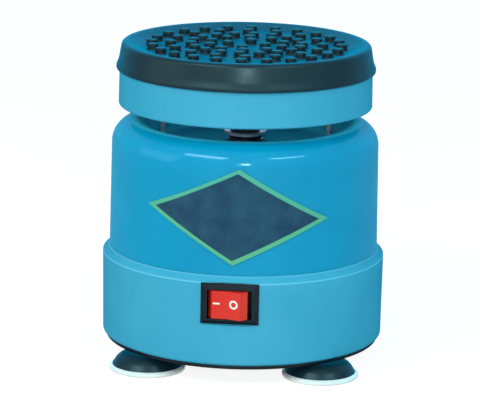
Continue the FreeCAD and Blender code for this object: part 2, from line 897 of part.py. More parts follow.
def motor_bracket(eared):
    """Bracket over the upper face of the stack: wall, plate and bush boss."""
    boss_bottom = upper_plate_bottom - bracket_boss_drop
    boss_top = upper_plate_top + bracket_boss_rise
    bracket = turned([
        (bush_radius, boss_bottom),
        (bracket_boss_radius, boss_bottom),
        (bracket_boss_radius, upper_plate_bottom),
        (yoke_inner_radius, upper_plate_bottom),
        (yoke_inner_radius, stack_top),
        (stack_radius, stack_top),
        (stack_radius, upper_plate_top),
        (bracket_boss_radius, upper_plate_top),
        (bracket_boss_radius, boss_top),
        (bush_radius, boss_top),
    ])
    half = bracket_window_angle / 2
    wall_window = sector(yoke_inner_radius - yoke_width / 2, stack_radius + yoke_width, -half, half,
                         stack_top + lead_radius, upper_plate_bottom)
    top_window = sector(bracket_window_inner, yoke_inner_radius, -half, half,
                        upper_plate_bottom, upper_plate_top)
    bolt_hole = rod(motor_bolt_radius + screw_clearance, stack_top, upper_plate_top)
    cuts = around(wall_window, 4) + around(top_window, 4)
    cuts += on_circle(bolt_hole, motor_bolt_pitch_radius, bolt_angles)
    if eared:
        ear = rod(ear_radius, upper_plate_bottom, upper_plate_top, ear_pitch_radius)
        arm_start = Vector(yoke_inner_radius, -ear_radius, upper_plate_bottom)
        arm_length = ear_pitch_radius - yoke_inner_radius
        arm = Part.makeBox(arm_length, 2 * ear_radius, bracket_plate_thickness, arm_start)
        bracket = bracket.multiFuse([spun(ear.fuse(arm), a) for a in ear_angles])
        ear_hole = rod(bush_neck_radius, upper_plate_bottom, upper_plate_top)
        cuts += on_circle(ear_hole, ear_pitch_radius, ear_angles)
    return bracket.cut(Part.makeCompound(cuts)).removeSplitter()


def lower_side(shape):
    """The same piece turned over onto the lower face of the stack."""
    copy = shape.copy()
    copy.rotate(Vector(0, 0, stack_middle), Vector(1, 0, 0), 180)
    return copy


def motor_bush():
    low = upper_plate_bottom - bracket_boss_drop
    return tube(bush_radius, shaft_radius + shaft_running_gap, low, upper_plate_top + bracket_boss_rise)


def motor_bolt():
    head = rod(motor_bolt_head_radius, upper_plate_top, upper_plate_top + motor_bolt_head_height)
    tip = lower_plate_bottom - motor_nut_height - motor_bolt_end
    return head.fuse(rod(motor_bolt_radius, tip, upper_plate_top)).removeSplitter()


def motor_nut():
    low = lower_plate_bottom - motor_nut_height
    nut = hexagon(motor_nut_width, low, lower_plate_bottom)
    return nut.cut(rod(motor_bolt_radius, low, lower_plate_bottom))


def mount_bush():
    top = upper_plate_top + bush_flange_height
    bottom = upper_plate_bottom - bush_flange_height
    return turned([
        (mount_screw_radius, bottom),
        (bush_flange_radius, bottom),
        (bush_flange_radius, upper_plate_bottom),
        (bush_neck_radius, upper_plate_bottom),
        (bush_neck_radius, upper_plate_top),
        (bush_flange_radius, upper_plate_top),
        (bush_flange_radius, top),
        (mount_screw_radius, top),
    ])


def mount_screw():
    seat = upper_plate_bottom - bush_flange_height
    tip = upper_plate_top + bush_flange_height + mount_screw_grip
    head = rod(mount_screw_head_radius, seat - mount_screw_head_height, seat)
    return head.fuse(rod(mount_screw_radius, seat, tip)).removeSplitter()


def motor_shaft():
    low = fan_bottom - shaft_tail
    high = hub_top - hub_shaft_cover
    return turned([
        (0, low),
        (shaft_radius - shaft_chamfer, low),
        (shaft_radius, low + shaft_chamfer),
        (shaft_radius, high - shaft_chamfer),
        (shaft_radius - shaft_chamfer, high),
        (0, high),
    ])


def rotor_end_ring():
    return tube(end_ring_outer, end_ring_inner, stack_top, stack_top + end_ring_height)


def thrust_washer():
    high = upper_plate_bottom - bracket_boss_drop - thrust_gap
    return tube(thrust_washer_radius, shaft_radius, stack_top + end_ring_height, high)


def cooling_fan():
    disc_bottom = fan_top - fan_disc_thickness
    hub = rod(fan_hub_radius, fan_bottom, fan_top)
    disc = rod(fan_radius, disc_bottom, fan_top)
    blade = Part.makeBox(fan_radius - shaft_radius, fan_blade_thickness, disc_bottom - fan_bottom,
                         Vector(shaft_radius, -fan_blade_thickness / 2, fan_bottom))
    fan = hub.multiFuse([disc] + around(blade, fan_blade_count))
    return fan.cut(rod(shaft_radius, fan_bottom, fan_top)).removeSplitter()


def weight_bottom():
    return hub_bottom + weight_lift


def set_screw_hole():
    height = weight_bottom() + weight_thickness / 2
    return rod_along_y(set_screw_radius, -weight_ring_radius - set_screw_inset, -shaft_radius, height)


def crank_hub():
    """Hub on the motor shaft with the eccentric journal and pin on top."""
    groove_low = floor_top + hub_groove_height
    groove = hub_radius - hub_groove_depth
    neck = journal_radius
    hub = turned([
        (shaft_radius, hub_bottom),
        (hub_radius, hub_bottom),
        (hub_radius, groove_low),
        (groove, groove_low),
        (groove, groove_low + hub_groove_width),
        (hub_radius, groove_low + hub_groove_width),
        (hub_radius, hub_top - hub_chamfer),
        (hub_radius - hub_chamfer, hub_top),
        (neck, hub_top),
        (neck, journal_bottom),
        (0, journal_bottom),
        (0, hub_top - hub_shaft_cover),
        (shaft_radius, hub_top - hub_shaft_cover),
    ])
    journal = on_head(rod(journal_radius, journal_bottom, bearing_bottom))
    pin = on_head(rod(bearing_bore_radius, bearing_bottom, bearing_top))
    thread = on_head(rod(retaining_screw_radius, bearing_top - retaining_screw_depth, bearing_top))
    return hub.multiFuse([journal, pin]).cut(thread).cut(set_screw_hole()).removeSplitter()


def hub_washer():
    return tube(hub_washer_radius, journal_radius + hub_washer_gap, hub_top, journal_bottom)


def counterweight():
    low = weight_bottom()
    high = low + weight_thickness
    ring = rod(weight_ring_radius, low, high)
    lobe = sector(hub_radius / 2, weight_radius, -weight_half_angle, weight_half_angle, low, high)
    lobe = spun(lobe, 90)
    return ring.fuse(lobe).cut(rod(hub_radius, low, high)).cut(set_screw_hole()).removeSplitter()


def set_screw():
    height = weight_bottom() + weight_thickness / 2
    return rod_along_y(set_screw_radius, set_screw_inset - weight_ring_radius, -shaft_radius, height)


def shaft_seal():
    return tube(seal_outer_radius, hub_radius + seal_gap, floor_top - seal_thickness, floor_top)


def ball_track():
    pitch = (bearing_inner_land + bearing_outer_land) / 2
    height = bearing_bottom + bearing_width / 2
    return Part.makeTorus(pitch, ball_radius + ball_clearance, Vector(0, 0, height))


def bearing_inner_race():
    ring = tube(bearing_inner_land, bearing_bore_radius, bearing_bottom, bearing_top)
    return on_head(ring.cut(ball_track()))


def bearing_outer_race():
    ring = tube(bearing_outer_radius, bearing_outer_land, bearing_bottom, bearing_top)
    return on_head(ring.cut(ball_track()))


def ball_places():
    pitch = (bearing_inner_land + bearing_outer_land) / 2
    return [polar(pitch, k * 360.0 / ball_count) for k in range(ball_count)]


def bearing_balls():
    height = bearing_bottom + bearing_width / 2
    return [on_head(Part.makeSphere(ball_radius, Vector(x, y, height))) for x, y in ball_places()]


def bearing_cage():
    pitch = (bearing_inner_land + bearing_outer_land) / 2
    height = bearing_bottom + bearing_width / 2
    ring = tube(pitch + cage_half_thickness, pitch - cage_half_thickness,
                height - cage_height / 2, height + cage_height / 2)
    pockets = []
    for x, y in ball_places():
        outward = Vector(x, y, 0).normalize()
        start = outward * (pitch - ball_radius) + up * height
        pockets.append(Part.makeCylinder(ball_radius + ball_clearance, 2 * ball_radius, start, outward))
    return on_head(ring.cut(Part.makeCompound(pockets)))


def bearing_circlip():
    low = bearing_bottom - circlip_thickness
    outer = bearing_outer_radius + circlip_bite
    clip = tube(outer, bearing_outer_radius - circlip_reach, low, bearing_bottom)
    gap = block(2 * bearing_outer_radius, 2 * circlip_reach, low, bearing_bottom, bearing_outer_radius)
    return on_head(clip.cut(gap))


def retaining_washer():
    return on_head(tube(retaining_washer_radius, retaining_screw_radius, bearing_top,
                        bearing_top + retaining_washer_thickness))


def retaining_screw():
    seat = bearing_top + retaining_washer_thickness
    head = rod(retaining_screw_head_radius, seat, seat + retaining_screw_head_height)
    shank = rod(retaining_screw_radius, bearing_top - retaining_screw_depth, seat)
    return on_head(head.fuse(shank).removeSplitter())


def head_pan():
    """Inverted pan with a bearing boss, ribs and two pin sockets under its top."""
    ceiling = head_top - head_top_thickness
    inner_low = head_bottom_radius - head_wall
    inner_high = head_seat_radius - head_wall
    pan = turned([
        (0, head_top),
        (head_seat_radius, head_top, head_edge_round),
        (head_seat_radius, head_step),
        (head_step_radius, head_step, head_edge_round / 2),
        (head_bottom_radius, head_bottom, head_edge_round),
        (inner_low, head_bottom),
        (inner_low, head_step - head_lean),
        (inner_high, head_step),
        (inner_high, ceiling),
        (0, ceiling),
    ])
    boss_bottom = bearing_bottom - circlip_thickness - head_boss_lip
    boss = rod(head_boss_radius, boss_bottom, ceiling)
    socket_outer = guide_socket_radius + grommet_wall + socket_wall
    socket = rod(socket_outer, head_bottom + grommet_lift, ceiling)
    rib = Part.makeBox(inner_high - bearing_outer_radius, rib_thickness, rib_height,
                       Vector(bearing_outer_radius, -rib_thickness / 2, ceiling - rib_height))
    sockets = on_circle(socket, guide_pin_spread, guide_angles)
    pan = pan.multiFuse([boss] + sockets + around(rib, rib_count, 180.0 / rib_count))
    groove_low = bearing_bottom - circlip_thickness
    bore = rod(bearing_outer_radius, boss_bottom, bearing_top)
    groove = rod(bearing_outer_radius + circlip_bite, groove_low, bearing_bottom)
    room = rod(head_screw_room_radius, bearing_top, head_top - head_cap_over_screw)
    grommet_top = head_bottom + grommet_lift + grommet_height
    cup = rod(guide_socket_radius + grommet_wall, head_bottom + grommet_lift, grommet_top)
    cuts = [bore, groove, room] + on_circle(cup, guide_pin_spread, guide_angles)
    return on_head(pan.cut(Part.makeCompound(cuts)).removeSplitter())


def pin_grommets():
    low = head_bottom + grommet_lift
    ring = tube(guide_socket_radius + grommet_wall, guide_socket_radius, low, low + grommet_height)
    return [on_head(g) for g in on_circle(ring, guide_pin_spread, guide_angles)]


def guide_pins():
    top = head_bottom + grommet_lift + guide_pin_top_gap
    pin = rod(guide_pin_radius, floor_top - guide_pin_depth, top)
    return on_circle(pin, guide_pin_spread, guide_angles)


def rubber_cap():
    """Rubber cap with a flared lip and a shallow dish full of round studs."""
    lip_bottom = head_step + cap_fit
    rim = head_top + cap_rim_height
    dish = rim - cap_dish_depth
    seat = head_seat_radius + cap_fit
    body = turned([
        (0, head_top),
        (seat, head_top),
        (seat, lip_bottom),
        (cap_lip_radius, lip_bottom, cap_lip_round),
        (cap_lip_radius, lip_bottom + cap_lip_edge, cap_lip_round),
        (cap_side_radius, lip_bottom + cap_flare_height, cap_flare_round),
        (cap_top_radius, rim, cap_edge_round),
        (cap_rim_inner_radius, rim),
        (cap_dish_radius, dish, cap_dish_round),
        (0, dish),
    ])
    stud = rod(stud_radius, dish - stud_root, dish + stud_height)
    studs = []
    for radius, count, start in zip(stud_ring_radii, stud_ring_counts, stud_ring_angles):
        angles = [start + k * 360.0 / count for k in range(count)]
        studs += on_circle(stud, radius, angles)
    return on_head(body.multiFuse(studs).removeSplitter())


def build_feet():
    corner_names = ("rear_right", "rear_left", "front_left", "front_right")
    for name, angle in zip(corner_names, foot_angles):
        place = polar(foot_pitch_radius, angle)
        save("foot_pad_" + name, at(foot_pad(), *place))
        save("foot_dome_" + name, at(foot_dome(), *place))
    save_group("foot_studs", on_circle(foot_stud(), foot_pitch_radius, foot_angles))
    save_group("foot_nuts", on_circle(foot_nut(), foot_pitch_radius, foot_angles))


def build_case():
    save("base_plate", base_plate())
    save("base_ring", base_ring())
    save("upper_housing", upper_housing())
    save("front_label", front_label())
    save("shaft_seal", shaft_seal())
    save_group("case_screws", on_circle(case_screw(), case_screw_pitch_radius, case_angles))
    save_group("guide_pins", guide_pins())
    save("cable_gland", cable_gland())
    save("gland_nut", gland_nut())


def build_switch():
    save("switch_body", switch_body())
    save("switch_rocker", switch_rocker())
    save_group("switch_terminals", switch_terminals())
    save("terminal_block", terminal_block())
    save_group("lead_wires", lead_wires())


def build_motor():
    former = coil_loop(0.0, former_wall)
    coil = coil_loop(former_wall, coil_build)
    ring = shading_ring()
    bush = motor_bush()
    save("stator_stack", stator_stack())
    save_group("coil_formers", [former, spun(former, 180)])
    save_group("field_coils", [coil, spun(coil, 180)])
    save_group("shading_rings", [ring, spun(ring, 180)])
    save("upper_bracket", motor_bracket(True))
    save("lower_bracket", lower_side(motor_bracket(False)))
    save("upper_bush", bush)
    save("lower_bush", lower_side(bush))
    save_group("motor_bolts", on_circle(motor_bolt(), motor_bolt_pitch_radius, bolt_angles))
    save_group("motor_nuts", on_circle(motor_nut(), motor_bolt_pitch_radius, bolt_angles))
    save_group("mount_bushes", on_circle(mount_bush(), ear_pitch_radius, ear_angles))
    save_group("mount_screws", on_circle(mount_screw(), ear_pitch_radius, ear_angles))


def build_rotor():
    end_ring = rotor_end_ring()
    washer = thrust_washer()
    save("motor_shaft", motor_shaft())
    save("rotor_core", tube(rotor_radius, shaft_radius, stack_bottom, stack_top))
    save_group("rotor_end_rings", [end_ring, lower_side(end_ring)])
    save_group("thrust_washers", [washer, lower_side(washer)])
    save("cooling_fan", cooling_fan())
    save("crank_hub", crank_hub())
    save("hub_washer", hub_washer())
    save("counterweight", counterweight())
    save("set_screw", set_screw())
    save("bearing_inner_race", bearing_inner_race())
    save("retaining_washer", retaining_washer())
    save("retaining_screw", retaining_screw())


def build_head():
    save_group("bearing_balls", bearing_balls())
    save("bearing_cage", bearing_cage())
    save("bearing_outer_race", bearing_outer_race())
    save("bearing_circlip", bearing_circlip())
    save("head_pan", head_pan())
    save_group("pin_grommets", pin_grommets())
    save("rubber_cap", rubber_cap())


os.makedirs("parts", exist_ok=True)
build_feet()
build_case()
build_switch()
build_motor()
build_rotor()
build_head()
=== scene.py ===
import json
import math

import bmesh
import bpy
from mathutils import Matrix, Vector
from mathutils.bvhtree import BVHTree


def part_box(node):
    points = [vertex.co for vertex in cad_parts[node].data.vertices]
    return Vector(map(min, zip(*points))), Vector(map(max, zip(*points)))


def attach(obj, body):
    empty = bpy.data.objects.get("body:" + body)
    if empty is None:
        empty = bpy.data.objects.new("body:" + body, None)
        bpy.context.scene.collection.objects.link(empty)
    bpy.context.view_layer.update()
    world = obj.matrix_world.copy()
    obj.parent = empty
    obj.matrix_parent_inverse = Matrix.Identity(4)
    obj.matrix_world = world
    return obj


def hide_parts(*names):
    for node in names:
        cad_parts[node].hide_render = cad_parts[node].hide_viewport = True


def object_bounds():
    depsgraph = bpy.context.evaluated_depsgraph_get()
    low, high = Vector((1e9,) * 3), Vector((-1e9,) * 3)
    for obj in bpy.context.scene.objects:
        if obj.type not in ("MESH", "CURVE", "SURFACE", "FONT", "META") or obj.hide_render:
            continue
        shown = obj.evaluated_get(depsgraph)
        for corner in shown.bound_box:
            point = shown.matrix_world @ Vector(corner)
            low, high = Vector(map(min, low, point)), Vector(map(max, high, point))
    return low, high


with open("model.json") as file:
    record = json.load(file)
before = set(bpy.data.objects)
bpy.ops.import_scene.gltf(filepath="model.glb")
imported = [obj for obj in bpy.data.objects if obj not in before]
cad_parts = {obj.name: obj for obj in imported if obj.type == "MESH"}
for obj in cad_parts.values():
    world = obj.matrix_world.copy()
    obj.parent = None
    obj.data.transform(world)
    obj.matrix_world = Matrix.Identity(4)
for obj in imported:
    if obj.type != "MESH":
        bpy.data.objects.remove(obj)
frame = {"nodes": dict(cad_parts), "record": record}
cad_low, cad_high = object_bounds()

# Sizes in metres, in the frame of the part
MM = 0.001
UP = Vector((0, 0, 1))
JOIN_DISTANCE = 0.001 * MM
SMOOTH_JOIN_DISTANCE = 0.002 * MM
CREASE_ANGLE = math.radians(28.0)
ARC_STEPS = 6

# Camera, aimed at a point on the object's axis and then moved left and up in the picture plane
IMAGE_WIDTH = 480
CAMERA_TARGET = Vector((0, 0, 55.4 * MM))
CAMERA_DISTANCE = 1101 * MM
CAMERA_AZIMUTH = math.radians(5.0)
CAMERA_ELEVATION = math.radians(13.1)
CAMERA_ROLL = math.radians(1.1)
CAMERA_FOCAL_PIXELS = 2947
CAMERA_SENSOR = 36
CAMERA_REACH = (0.01, 20.0)
AIM_LEFT = 1.5 * MM
AIM_UP = 1.9 * MM

# White surround and floor
WHITE = (1, 1, 1, 1)
AMBIENT = (0.2, 0.27, 0.29, 1)
FLOOR_REACH = 6.0
FLOOR_TONES = ((0.2, 0.2, 0.2, 1), (0.21, 0.21, 0.21, 1))
FLOOR_GLOW = (0.3, 0.88)

# Rubber cap: heights are measured down from the stud tops or up from the lip
CAP_SEGMENTS = 192
CAP_SEAT_RADIUS = 45.3 * MM
CAP_SEAT_DEPTH = 3.4 * MM
CAP_LIP_EDGE = 1.2 * MM
CAP_LIP_LOWER_ROUND = 0.5 * MM
CAP_LIP_UPPER_ROUND = 0.6 * MM
CAP_FLARE_HEIGHT = 3.4 * MM
CAP_FLARE_ROUND = 9.0 * MM
CAP_SIDE_RADIUS = 47.0 * MM
CAP_TOP_RADIUS = 45.9 * MM
CAP_TOP_ROUND = 1.6 * MM
CAP_RIM_INNER_RADIUS = 43.2 * MM
CAP_RIM_INNER_ROUND = 0.4 * MM
CAP_RIM_DROP = 0.2 * MM
CAP_DISH_RADIUS = 37.8 * MM
CAP_DISH_ROUND = 2.0 * MM
# Painted reflection on the cap's top: the distance over which it fades out towards the rim
CAP_PAINTED_REFLECTION_FADE = 1.5 * MM

# Studs of the cap, on rings of a radius, a count and a turn in degrees
STUD_HEIGHT = 2.3 * MM
STUD_RADIUS = 2.1 * MM
STUD_EDGE = 0.45 * MM
STUD_FILLET = 0.4 * MM
STUD_FILLET_ROUND = 0.6 * MM
STUD_ROOT = 0.3 * MM
STUD_SIDES = 28
STUD_RINGS = (
    (7.0 * MM, 4, -8.0),
    (14.0 * MM, 10, 18.0),
    (20.5 * MM, 18, 8.0),
    (28.0 * MM, 16, 4.0),
    (35.0 * MM, 24, 2.0),
)

# Part of a pattern's values that a ramp spans
PATTERN_LOW = 0.3
PATTERN_HIGH = 0.7

# Patterns: cloudy tone and uneven polish of moulded pieces, and fine lines on turned ones
CLOUD_SCALE = 45.0
POLISH_SCALE = 135.0
TURNED_SCALE = 900.0
TURNED_STRETCH = (0.06, 0.06, 1.0)

# How fast a soft shine falls from seen straight on to seen edgewise
GLOSS_FALL = 3.5

# Top of the housing, duller inside this distance from the wall, and painted paler there as painted light
# in the recess under the head
DULL_AND_PAINTED_LIGHT_INSET = 8.5 * MM
DULL_AND_PAINTED_LIGHT_BLEND = 2.0 * MM
DULL_ROUGHNESS = 0.6

# Edges of the base, down from its top, and how wide and how strong the painted highlight along them is
BASE_EDGE_DROPS = (0.0, 2.4 * MM)
BASE_EDGE_WIDTH = 0.35 * MM
BASE_EDGE_HIGHLIGHT = 0.6

# Diamond label
LABEL_TILT = math.radians(3.0)
LABEL_BORDER = 1.3 * MM
LABEL_BLEND = 0.2 * MM

# Marks on the rocker, across and up from its middle
MARK_RAISE = 0.05 * MM
MARK_ROOT = 0.1 * MM
MARK_LIFT = 0.5 * MM
BAR_PLACE = -4.1 * MM
BAR_LENGTH = 2.5 * MM
BAR_WIDTH = 0.6 * MM
RING_PLACE = 2.2 * MM
RING_OUTER = 1.6 * MM
RING_INNER = 0.95 * MM
RING_SEGMENTS = 48

# Ray that finds the front of a piece, straight back from well in front of it
RAY_START = -1.0
RAY_DIRECTION = Vector((0, 1, 0))


def linear(red, green, blue):
    """Scene colour from screen values of 0 to 255."""
    values = []
    for channel in (red, green, blue):
        share = channel / 255
        if share <= 0.04045:
            values.append(share / 12.92)
        else:
            values.append(((share + 0.055) / 1.055) ** 2.4)
    return (*values, 1.0)


def linked(name, data):
    """New object that stands in the scene."""
    thing = bpy.data.objects.new(name, data)
    bpy.context.collection.objects.link(thing)
    return thing


def tree_node(tree, kind, inputs=None, **settings):
    """New node with its settings, and with a link or a value for each input."""
    made = tree.nodes.new(kind)
    for name, value in settings.items():
        setattr(made, name, value)
    for key, value in (inputs or {}).items():
        if isinstance(value, bpy.types.NodeSocket):
            tree.links.new(value, made.inputs[key])
        else:
            made.inputs[key].default_value = value
    return made


def colour_mix(tree, factor, first, second):
    """Tone between two others: a colour mix has its factor on socket 0 and its tones on 6 and 7."""
    mix = tree_node(tree, "ShaderNodeMix", {0: factor, 6: first, 7: second}, data_type="RGBA")
    return mix.outputs[2]


def seen_plainly(tree):
    """1 for rays from the camera, a mirror or glass, and 0 for the rest."""
    path = tree_node(tree, "ShaderNodeLightPath").outputs
    seen = path["Is Camera Ray"]
    for kind in ("Is Glossy Ray", "Is Transmission Ray"):
        either = tree_node(tree, "ShaderNodeMath", {0: seen, 1: path[kind]}, operation="MAXIMUM")
        seen = either.outputs[0]
    return seen


class Finish:
    """A procedural material that is built up node by node."""

    def __init__(self, name):
        self.material = bpy.data.materials.new(name)
        self.material.use_nodes = True
        self.tree = self.material.node_tree
        self.shader = self.tree.nodes["Principled BSDF"]
        self.place = self.node("ShaderNodeTexCoord").outputs["Object"]

    def node(self, kind, inputs=None, **settings):
        return tree_node(self.tree, kind, inputs, **settings)

    def set(self, **sockets):
        """Plain values on the shader's own sockets."""
        for name, value in sockets.items():
            self.shader.inputs[name.replace("_", " ")].default_value = value
        return self

    def feed(self, socket, source):
        """Lets a node drive one of the shader's sockets."""
        self.tree.links.new(source, self.shader.inputs[socket])
        return self

    def math(self, operation, first, second=0.0):
        return self.node("ShaderNodeMath", {0: first, 1: second}, operation=operation).outputs[0]

    def noise(self, scale, detail=3.0, roughness=0.55, vector=None):
        inputs = {
            "Vector": vector or self.place,
            "Scale": scale,
            "Detail": detail,
            "Roughness": roughness,
        }
        return self.node("ShaderNodeTexNoise", inputs).outputs["Fac"]

    def between(self, factor, first, second):
        """Ramp from one tone to another over the middle of a pattern."""
        ramp = self.node("ShaderNodeValToRGB", {"Fac": factor})
        low, high = ramp.color_ramp.elements
        low.position = PATTERN_LOW
        low.color = first
        high.position = PATTERN_HIGH
        high.color = second
        return ramp.outputs["Color"]

    def mixed(self, factor, first, second):
        return colour_mix(self.tree, factor, first, second)

    def ranged(self, factor, low, high, start=PATTERN_LOW, end=PATTERN_HIGH):
        """Value that goes from low to high while the factor goes from start to end."""
        inputs = {"Value": factor, "From Min": start, "From Max": end, "To Min": low, "To Max": high}
        return self.node("ShaderNodeMapRange", inputs).outputs[0]

    def reach(self, axis):
        """Distance from an upright axis."""
        offset = (-axis.x, -axis.y, 0)
        centred = self.node("ShaderNodeMapping", {"Vector": self.place, "Location": offset}).outputs[0]
        inputs = {0: centred, 1: (1, 1, 0)}
        flat = self.node("ShaderNodeVectorMath", inputs, operation="MULTIPLY").outputs[0]
        return self.node("ShaderNodeVectorMath", {0: flat}, operation="LENGTH").outputs["Value"]

    def colour(self, tone):
        self.tone = tone
        return self.feed("Base Color", tone)

    def roughness(self, level):
        return self.feed("Roughness", level)

    def gloss(self, facing):
        """Shine that is strongest seen straight on and doesn't grow towards the rims."""
        slant = self.node("ShaderNodeLayerWeight", {"Blend": 0.5}).outputs["Facing"]
        towards = self.math("POWER", self.math("SUBTRACT", 1.0, slant), GLOSS_FALL)
        self.set(Specular_IOR_Level=facing)
        return self.feed("Specular IOR Level", self.math("MULTIPLY", towards, facing))

    def bump(self, height, strength, distance):
        inputs = {"Height": height, "Strength": strength, "Distance": distance}
        return self.feed("Normal", self.node("ShaderNodeBump", inputs).outputs[0])


def moulded(name, first, second, rough, grain, depth):
    """Moulded plastic or rubber: cloudy tone, uneven gloss and a fine grained skin."""
    finish = Finish(name)
    finish.colour(finish.between(finish.noise(CLOUD_SCALE), linear(*first), linear(*second)))
    finish.roughness(finish.ranged(finish.noise(POLISH_SCALE), *rough))
    return finish.bump(finish.noise(grain, detail=2.0), strength=0.3, distance=depth)


def turned_metal(name, first, second, rough):
    """Machined metal with fine lines round the axis."""
    finish = Finish(name)
    inputs = {"Vector": finish.place, "Scale": TURNED_STRETCH}
    stretched = finish.node("ShaderNodeMapping", inputs).outputs[0]
    lines = finish.noise(TURNED_SCALE, detail=2.0, roughness=0.6, vector=stretched)
    finish.colour(finish.between(lines, linear(*first), linear(*second)))
    finish.roughness(finish.ranged(lines, *rough))
    finish.bump(lines, strength=0.15, distance=0.02 * MM)
    return finish.set(Metallic=1.0)


def layered_metal(name, first, second, direction, scale, distortion, rough, strength, depth):
    """Metal in fine layers or windings that follow each other in one direction."""
    finish = Finish(name)
    inputs = {"Vector": finish.place, "Scale": scale, "Distortion": distortion}
    wave = finish.node("ShaderNodeTexWave", inputs, bands_direction=direction).outputs["Fac"]
    finish.colour(finish.between(wave, linear(*first), linear(*second)))
    finish.roughness(finish.ranged(wave, *rough))
    return finish.bump(wave, strength, depth)


def housing_blue():
    """Polished translucent plastic, left duller on the top inside the rim, where it is also painted paler
    as painted light in the recess under the head.
    """
    low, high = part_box("upper_housing")
    finish = Finish("housing_blue")
    rim = high.x - DULL_AND_PAINTED_LIGHT_INSET
    outside = finish.ranged(finish.reach((low + high) / 2), 0.0, 1.0, start=rim, end=rim + DULL_AND_PAINTED_LIGHT_BLEND)
    blue = finish.between(finish.noise(CLOUD_SCALE), linear(2, 141, 181), linear(6, 148, 188))
    # Painted light: the top inside the rim gets a paler blue that stands in for light in the shaded recess
    # under the head
    finish.colour(finish.mixed(outside, linear(60, 205, 240), blue))
    polish = finish.ranged(finish.noise(POLISH_SCALE), 0.1, 0.15)
    finish.roughness(finish.ranged(outside, DULL_ROUGHNESS, polish, start=0.0, end=1.0))
    finish.bump(finish.noise(1400.0, detail=2.0), strength=0.3, distance=0.01 * MM)
    finish.gloss(0.5)
    return finish.set(
        Specular_Tint=linear(170, 225, 255),
        Subsurface_Weight=0.5,
        Subsurface_Scale=8 * MM,
        Subsurface_Radius=(0.3, 0.8, 1.0),
    )


def base_blue():
    """Moulded plastic, with painted highlights along the edges of the base."""
    finish = moulded("base_blue", (50, 153, 184), (60, 159, 189),
                     rough=(0.46, 0.56), grain=2600.0, depth=0.03 * MM)
    height = finish.node("ShaderNodeSeparateXYZ", {"Vector": finish.place}).outputs["Z"]
    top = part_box("base_ring")[1].z
    for drop in BASE_EDGE_DROPS:
        # Painted highlight: thin paler bands along the base's top edges, standing in for light on the
        # rounded edges
        away = finish.math("ABSOLUTE", finish.math("SUBTRACT", height, top - drop))
        edge_highlight = finish.ranged(away, BASE_EDGE_HIGHLIGHT, 0.0, start=0.0, end=BASE_EDGE_WIDTH)
        finish.colour(finish.mixed(edge_highlight, finish.tone, linear(120, 205, 230)))
    return finish.gloss(0.4)


def black_rubber(name="black_rubber"):
    finish = moulded(name, (8, 24, 30), (14, 34, 42),
                     rough=(0.3, 0.42), grain=1800.0, depth=0.03 * MM)
    finish.gloss(0.45)
    return finish.set(
        Specular_Tint=linear(190, 245, 255),
        Sheen_Weight=0.7,
        Sheen_Roughness=0.4,
        Sheen_Tint=linear(0, 170, 210),
    )


def painted_reflection_rubber():
    """Rubber of the cap, with a painted teal reflection on its top inside the rim."""
    low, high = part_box("rubber_cap")
    finish = black_rubber("painted_reflection_rubber")
    reach = finish.reach((low + high) / 2)
    fade_start = CAP_TOP_RADIUS - CAP_PAINTED_REFLECTION_FADE
    painted_teal_mask = finish.ranged(reach, 1.0, 0.0, start=fade_start, end=CAP_TOP_RADIUS)
    # Painted reflection: the cap's top inside the rim is tinted teal, standing in for a blue reflection on
    # the black rubber
    return finish.colour(finish.mixed(painted_teal_mask, finish.tone, linear(10, 76, 100)))


def pale_rubber():
    finish = moulded("pale_rubber", (206, 220, 216), (228, 238, 235),
                     rough=(0.22, 0.34), grain=900.0, depth=0.03 * MM)
    return finish.set(Subsurface_Weight=0.25, Subsurface_Scale=1.5 * MM)


def black_plastic():
    finish = moulded("black_plastic", (14, 24, 30), (24, 36, 43),
                     rough=(0.34, 0.46), grain=2400.0, depth=0.02 * MM)
    return finish.gloss(0.2)


def red_plastic():
    finish = moulded("red_plastic", (196, 34, 22), (210, 46, 30),
                     rough=(0.22, 0.32), grain=1600.0, depth=0.01 * MM)
    return finish.set(Specular_IOR_Level=0.35)


def white_plastic():
    return moulded("white_plastic", (222, 220, 208), (236, 235, 226),
                   rough=(0.4, 0.5), grain=1800.0, depth=0.02 * MM)


def lead_red():
    return moulded("lead_red", (150, 42, 34), (172, 54, 42),
                   rough=(0.4, 0.5), grain=1800.0, depth=0.02 * MM)


def aluminium():
    finish = moulded("aluminium", (186, 188, 191), (206, 208, 210),
                     rough=(0.42, 0.54), grain=1500.0, depth=0.05 * MM)
    return finish.set(Metallic=1.0)


def steel():
    return turned_metal("steel", (206, 210, 214), (230, 233, 236), rough=(0.28, 0.4))


def dark_steel():
    return turned_metal("dark_steel", (52, 54, 58), (82, 85, 90), rough=(0.3, 0.42))


def brass():
    return turned_metal("brass", (190, 160, 88), (214, 184, 110), rough=(0.24, 0.34))


def bronze():
    return turned_metal("bronze", (140, 112, 74), (166, 136, 92), rough=(0.4, 0.5))


def lamination():
    """Stacked steel sheet with fine level lines."""
    finish = layered_metal("lamination", (92, 94, 98), (132, 134, 138), direction="Z", scale=320.0,
                           distortion=0.2, rough=(0.5, 0.38), strength=0.5, depth=0.1 * MM)
    return finish.set(Metallic=0.9)


def copper():
    """Fine wire wound side by side."""
    finish = layered_metal("copper", (146, 76, 40), (204, 122, 76), direction="X", scale=260.0,
                           distortion=0.5, rough=(0.42, 0.28), strength=0.6, depth=0.15 * MM)
    return finish.set(Metallic=1.0)


